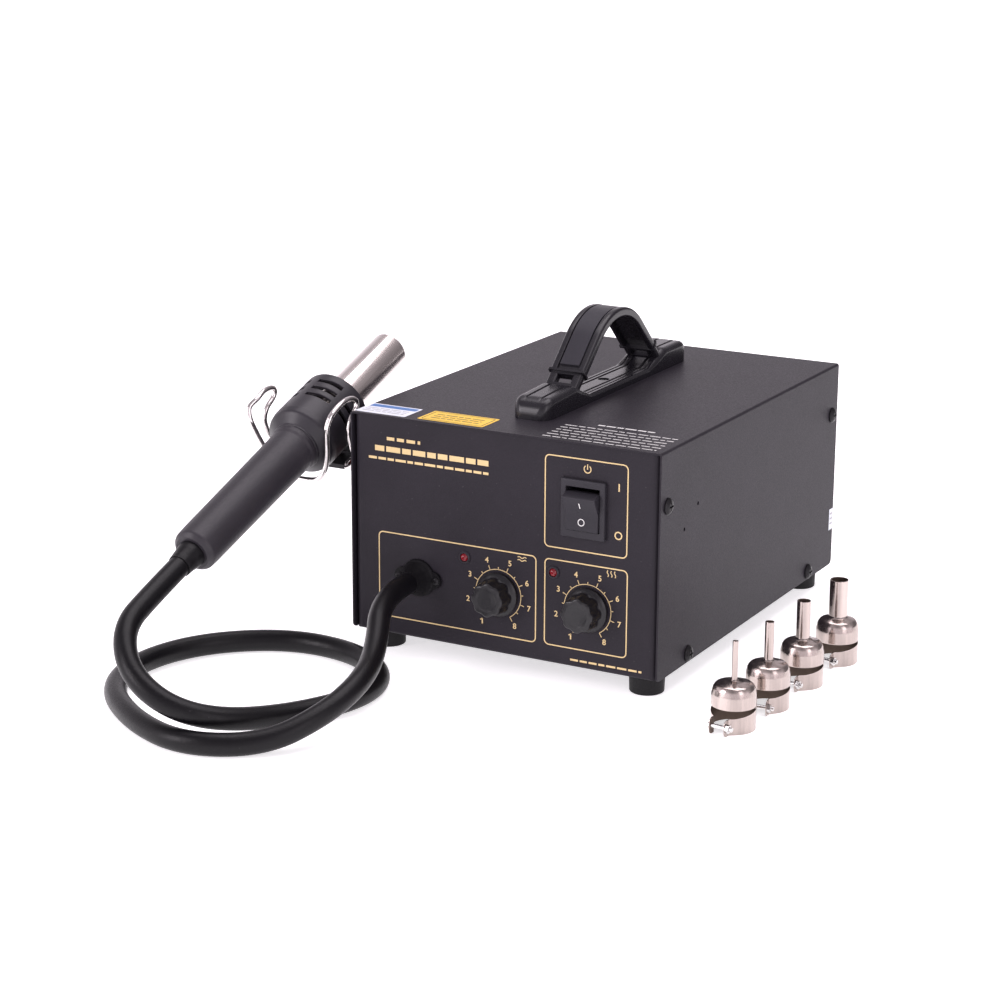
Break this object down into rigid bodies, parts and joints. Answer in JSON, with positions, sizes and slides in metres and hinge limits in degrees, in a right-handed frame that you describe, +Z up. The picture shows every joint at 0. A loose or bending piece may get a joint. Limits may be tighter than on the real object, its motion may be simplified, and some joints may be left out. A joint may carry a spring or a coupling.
{
  "type": "hot air station",
  "caption": "Hot air rework station: steel case with carrying handle, rocker switch and two dials, handpiece in a wire hanger on a loose hose, and clamp-on nozzles beside it.",
  "frame": {"origin": "On the bench surface, under the middle of the case's footprint.", "axes": "+Z up, -Y is the front panel's side, +X to the right seen from the front."},
  "size_m": [0.3366, 0.4358, 0.1815],
  "materials": {
    "black_powder_coat": "satin black powder coat",
    "black_screw": "blackened steel",
    "foot_rubber": "matt black rubber",
    "handle_plastic": "satin black plastic",
    "handle_strip": "dark grey satin plastic",
    "switch_plastic": "fine satin black plastic",
    "knob_plastic": "satin black plastic",
    "gland_plastic": "satin black plastic",
    "handpiece_plastic": "satin black plastic",
    "zinc_steel": "zinc plated steel",
    "brass": "plain brass",
    "pump_casting": "as-cast",
    "copper_winding": "enamelled copper wire",
    "silicone_tube": "translucent silicone",
    "board_green": "green solder mask",
    "core_steel": "varnished lamination",
    "aluminium": "extruded",
    "component_black": "moulded",
    "red_lens": "clear dark red",
    "pipe_steel": "brushed stainless steel",
    "mica": "mica sheet",
    "ceramic": "unglazed",
    "black_bracket": "satin black",
    "chrome_wire": "bright",
    "red_pad": "dark red rubber",
    "hose_rubber": "satin black silicone rubber",
    "nozzle_nickel": "polished nickel plate"
  },
  "bodies": {
    "station": {"cover": "black_powder_coat", "chassis": "black_powder_coat", "rear_panel": "black_powder_coat", "cover_screws": "black_screw", "rear_panel_screws": "black_screw", "rubber_feet": "foot_rubber", "foot_screws": "black_screw", "handle_base": "handle_plastic", "handle_grip": "handle_plastic", "handle_strip": "handle_strip", "handle_screws": "black_screw", "switch_housing": "switch_plastic", "switch_terminals": "brass", "panel_nuts": "zinc_steel", "air_valve_body": "brass", "heater_potentiometer": "zinc_steel", "indicator_lamps": "red_lens", "lamp_holders": "switch_plastic", "hose_gland": "gland_plastic", "gland_screws": "zinc_steel", "air_pump": "pump_casting", "pump_coil": "copper_winding", "pump_mounts": "foot_rubber", "inner_tubes": "silicone_tube", "control_board": "board_green", "board_standoffs": "brass", "transformer_core": "core_steel", "transformer_winding": "copper_winding", "heat_sink": "aluminium", "triac": "component_black", "capacitors": "component_black", "power_inlet": "switch_plastic", "inlet_pins": "brass", "fuse_holder": "switch_plastic", "hanger_bracket": "black_bracket", "hanger_wire": "chrome_wire", "hanger_pad": "red_pad", "hanger_clamp": "black_bracket", "hanger_screws": "black_screw", "air_hose": "hose_rubber"},
    "rocker": {"switch_rocker": "switch_plastic"},
    "air_dial": {"air_knob": "knob_plastic", "air_valve_shaft": "zinc_steel"},
    "heater_dial": {"heater_knob": "knob_plastic", "potentiometer_shaft": "zinc_steel"},
    "handpiece": {"handpiece_head": "handpiece_plastic", "handpiece_grip": "handpiece_plastic", "heater_pipe": "pipe_steel", "insulating_sleeve": "mica", "heater_core": "ceramic", "heater_coil": "zinc_steel", "hose_sleeve": "hose_rubber"},
    "nozzle_1_set": {"nozzle_1": "nozzle_nickel", "nozzle_screw_1": "zinc_steel"},
    "nozzle_2_set": {"nozzle_2": "nozzle_nickel", "nozzle_screw_2": "zinc_steel"},
    "nozzle_3_set": {"nozzle_3": "nozzle_nickel", "nozzle_screw_3": "zinc_steel"},
    "nozzle_4_set": {"nozzle_4": "nozzle_nickel", "nozzle_screw_4": "zinc_steel"}
  },
  "joints": [
    {"name": "power_rocker", "type": "hinge", "parent": "station", "child": "rocker", "pos_m": [0.04925, -0.118, 0.0997], "axis": [-1, 0, 0], "range_deg": [0, 26]},
    {"name": "air_dial_turn", "type": "hinge", "parent": "station", "child": "air_dial", "pos_m": [-0.00175, -0.1215, 0.0449], "axis": [0, 1, 0], "range_deg": [0, 297.5]},
    {"name": "heater_dial_turn", "type": "hinge", "parent": "station", "child": "heater_dial", "pos_m": [0.0519, -0.1215, 0.0449], "axis": [0, 1, 0], "range_deg": [0, 297.5]},
    {"name": "handpiece_lift", "type": "slide", "parent": "station", "child": "handpiece", "axis": [0, -0.3364, 0.9417], "range_m": [0, 0.048]},
    {"name": "nozzle_1_lift", "type": "slide", "parent": "station", "child": "nozzle_1_set", "axis": [0, 0, 1], "range_m": [0, 0.06]},
    {"name": "nozzle_2_lift", "type": "slide", "parent": "station", "child": "nozzle_2_set", "axis": [0, 0, 1], "range_m": [0, 0.06]},
    {"name": "nozzle_3_lift", "type": "slide", "parent": "station", "child": "nozzle_3_set", "axis": [0, 0, 1], "range_m": [0, 0.06]},
    {"name": "nozzle_4_lift", "type": "slide", "parent": "station", "child": "nozzle_4_set", "axis": [0, 0, 1], "range_m": [0, 0.06]}
  ]
}
